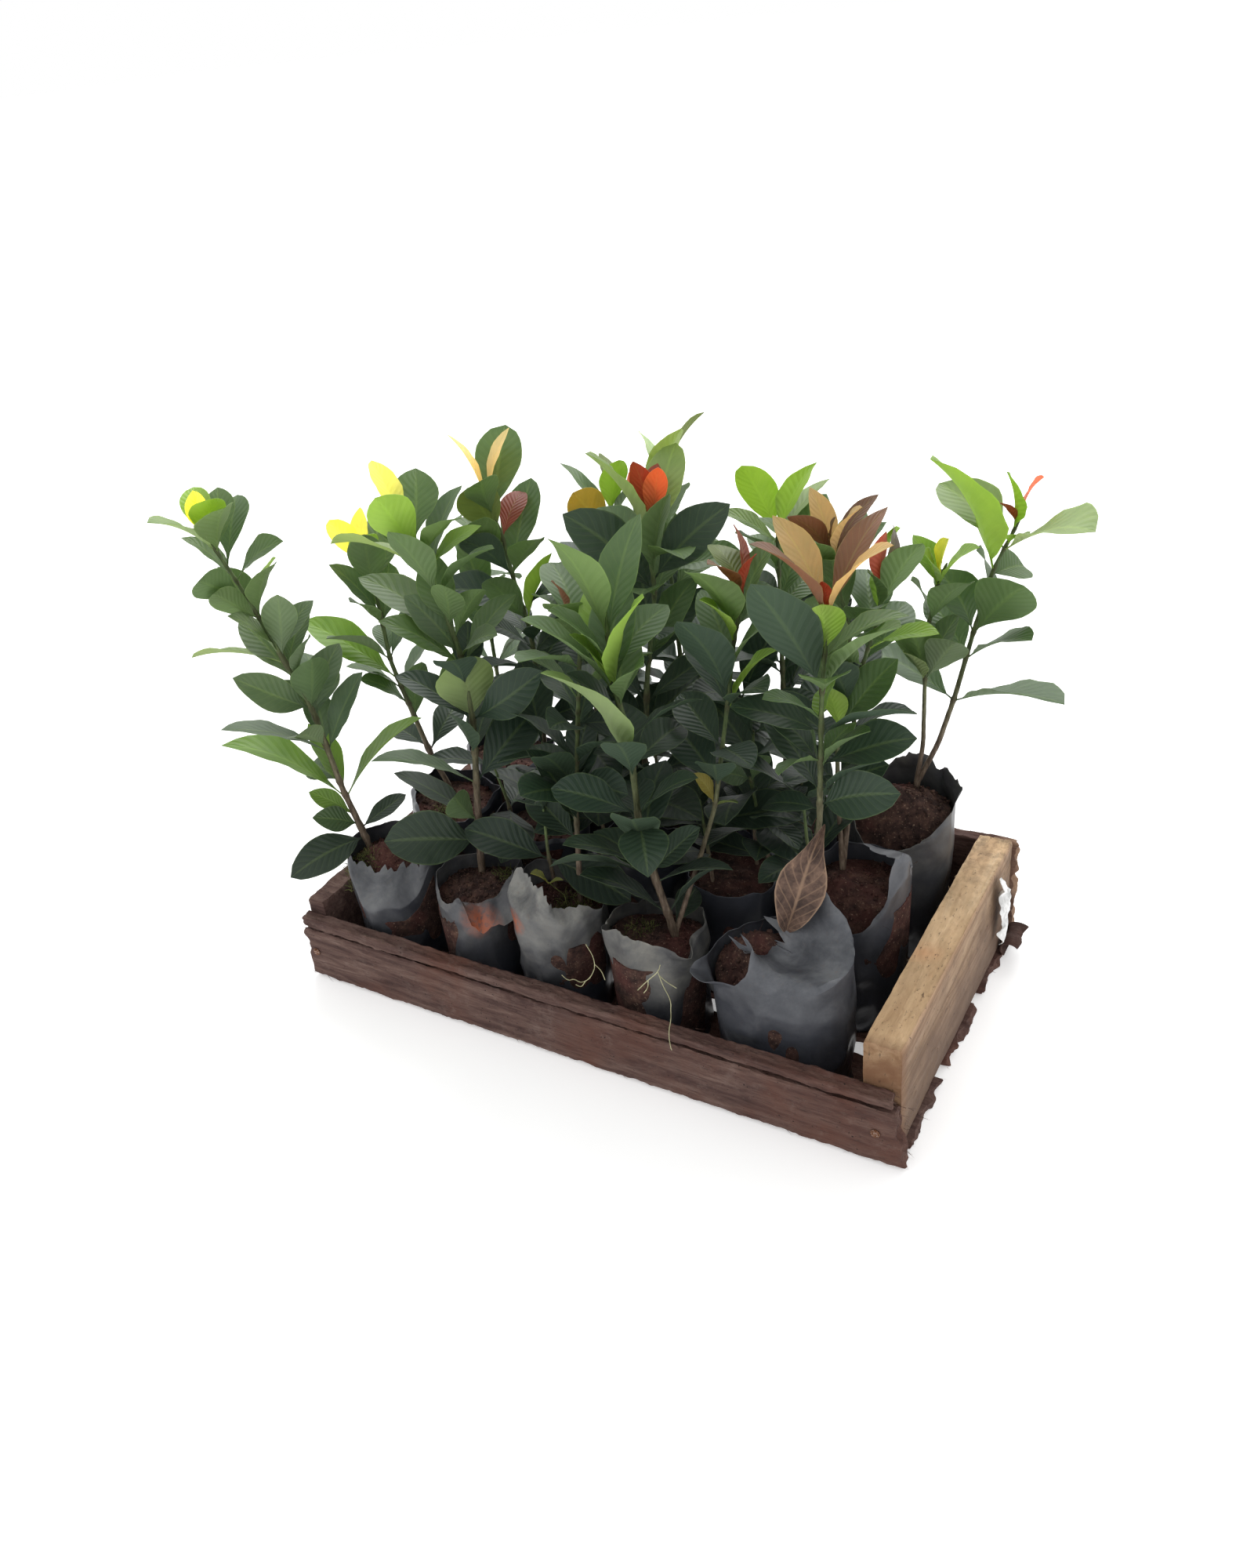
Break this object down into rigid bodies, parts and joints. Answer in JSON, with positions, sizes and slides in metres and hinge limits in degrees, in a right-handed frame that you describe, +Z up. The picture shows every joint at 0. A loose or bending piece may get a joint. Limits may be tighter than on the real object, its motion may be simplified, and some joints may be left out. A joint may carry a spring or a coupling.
{
  "type": "tray of potted ixora plants",
  "caption": "Rough wooden nursery tray packed with young ixora plants, each with leafy upright stems growing in a black film bag filled with fibrous soil.",
  "frame": {"origin": "on the ground under the middle of the tray, at the centre of the middle floor slat's underside", "axes": "+Z up; +X along the tray's length towards its pale sawn end board; -Y towards the front slat"},
  "size_m": [0.6162, 0.356, 0.4367],
  "materials": {
    "weathered_wood": "rough, damp, dark reddish-brown weathered timber with a hairy torn grain",
    "sawn_wood": "pale tan rough-sawn softwood, matt, with orange and dark stains",
    "nail_steel": "dull, slightly rusty wire nail",
    "bag_film": "thin black polythene film, crinkled, dusty, with soft highlights on the creases",
    "coir_soil": "crumbly dark reddish-brown coir compost, fully matt",
    "foliage": "smooth waxy leaf, dark green below to lime and red-brown at the tips, satin sheen",
    "dry_leaf": "dead tan-brown leaf, papery and matt"
  },
  "bodies": {
    "root": {"floor_slat_1": "weathered_wood", "floor_slat_2": "weathered_wood", "floor_slat_3": "weathered_wood", "end_board_left": "weathered_wood", "end_board_right": "sawn_wood", "front_slat": "weathered_wood", "front_strip": "weathered_wood", "back_slat": "weathered_wood", "nail_front_left": "nail_steel", "nail_front_right": "nail_steel", "nail_back_left": "nail_steel", "nail_back_right": "nail_steel", "bag_front_1": "bag_film", "bag_front_2": "bag_film", "bag_front_3": "bag_film", "bag_front_4": "bag_film", "bag_front_5": "bag_film", "bag_middle_1": "bag_film", "bag_middle_2": "bag_film", "bag_middle_3": "bag_film", "bag_middle_4": "bag_film", "bag_middle_5": "bag_film", "bag_back_1": "bag_film", "bag_back_2": "bag_film", "bag_back_3": "bag_film", "bag_back_4": "bag_film", "bag_back_5": "bag_film", "soil_front_1": "coir_soil", "soil_front_2": "coir_soil", "soil_front_3": "coir_soil", "soil_front_4": "coir_soil", "soil_front_5": "coir_soil", "soil_middle_1": "coir_soil", "soil_middle_2": "coir_soil", "soil_middle_3": "coir_soil", "soil_middle_4": "coir_soil", "soil_middle_5": "coir_soil", "soil_back_1": "coir_soil", "soil_back_2": "coir_soil", "soil_back_3": "coir_soil", "soil_back_4": "coir_soil", "soil_back_5": "coir_soil", "plant_front_1": "foliage", "plant_front_2": "foliage", "plant_front_3": "foliage", "plant_front_4": "foliage", "plant_front_5": "foliage", "plant_middle_1": "foliage", "plant_middle_2": "foliage", "plant_middle_3": "foliage", "plant_middle_4": "foliage", "plant_middle_5": "foliage", "plant_back_1": "foliage", "plant_back_2": "foliage", "plant_back_3": "foliage", "plant_back_4": "foliage", "plant_back_5": "foliage", "dry_leaf": "dry_leaf"}
  },
  "joints": []
}
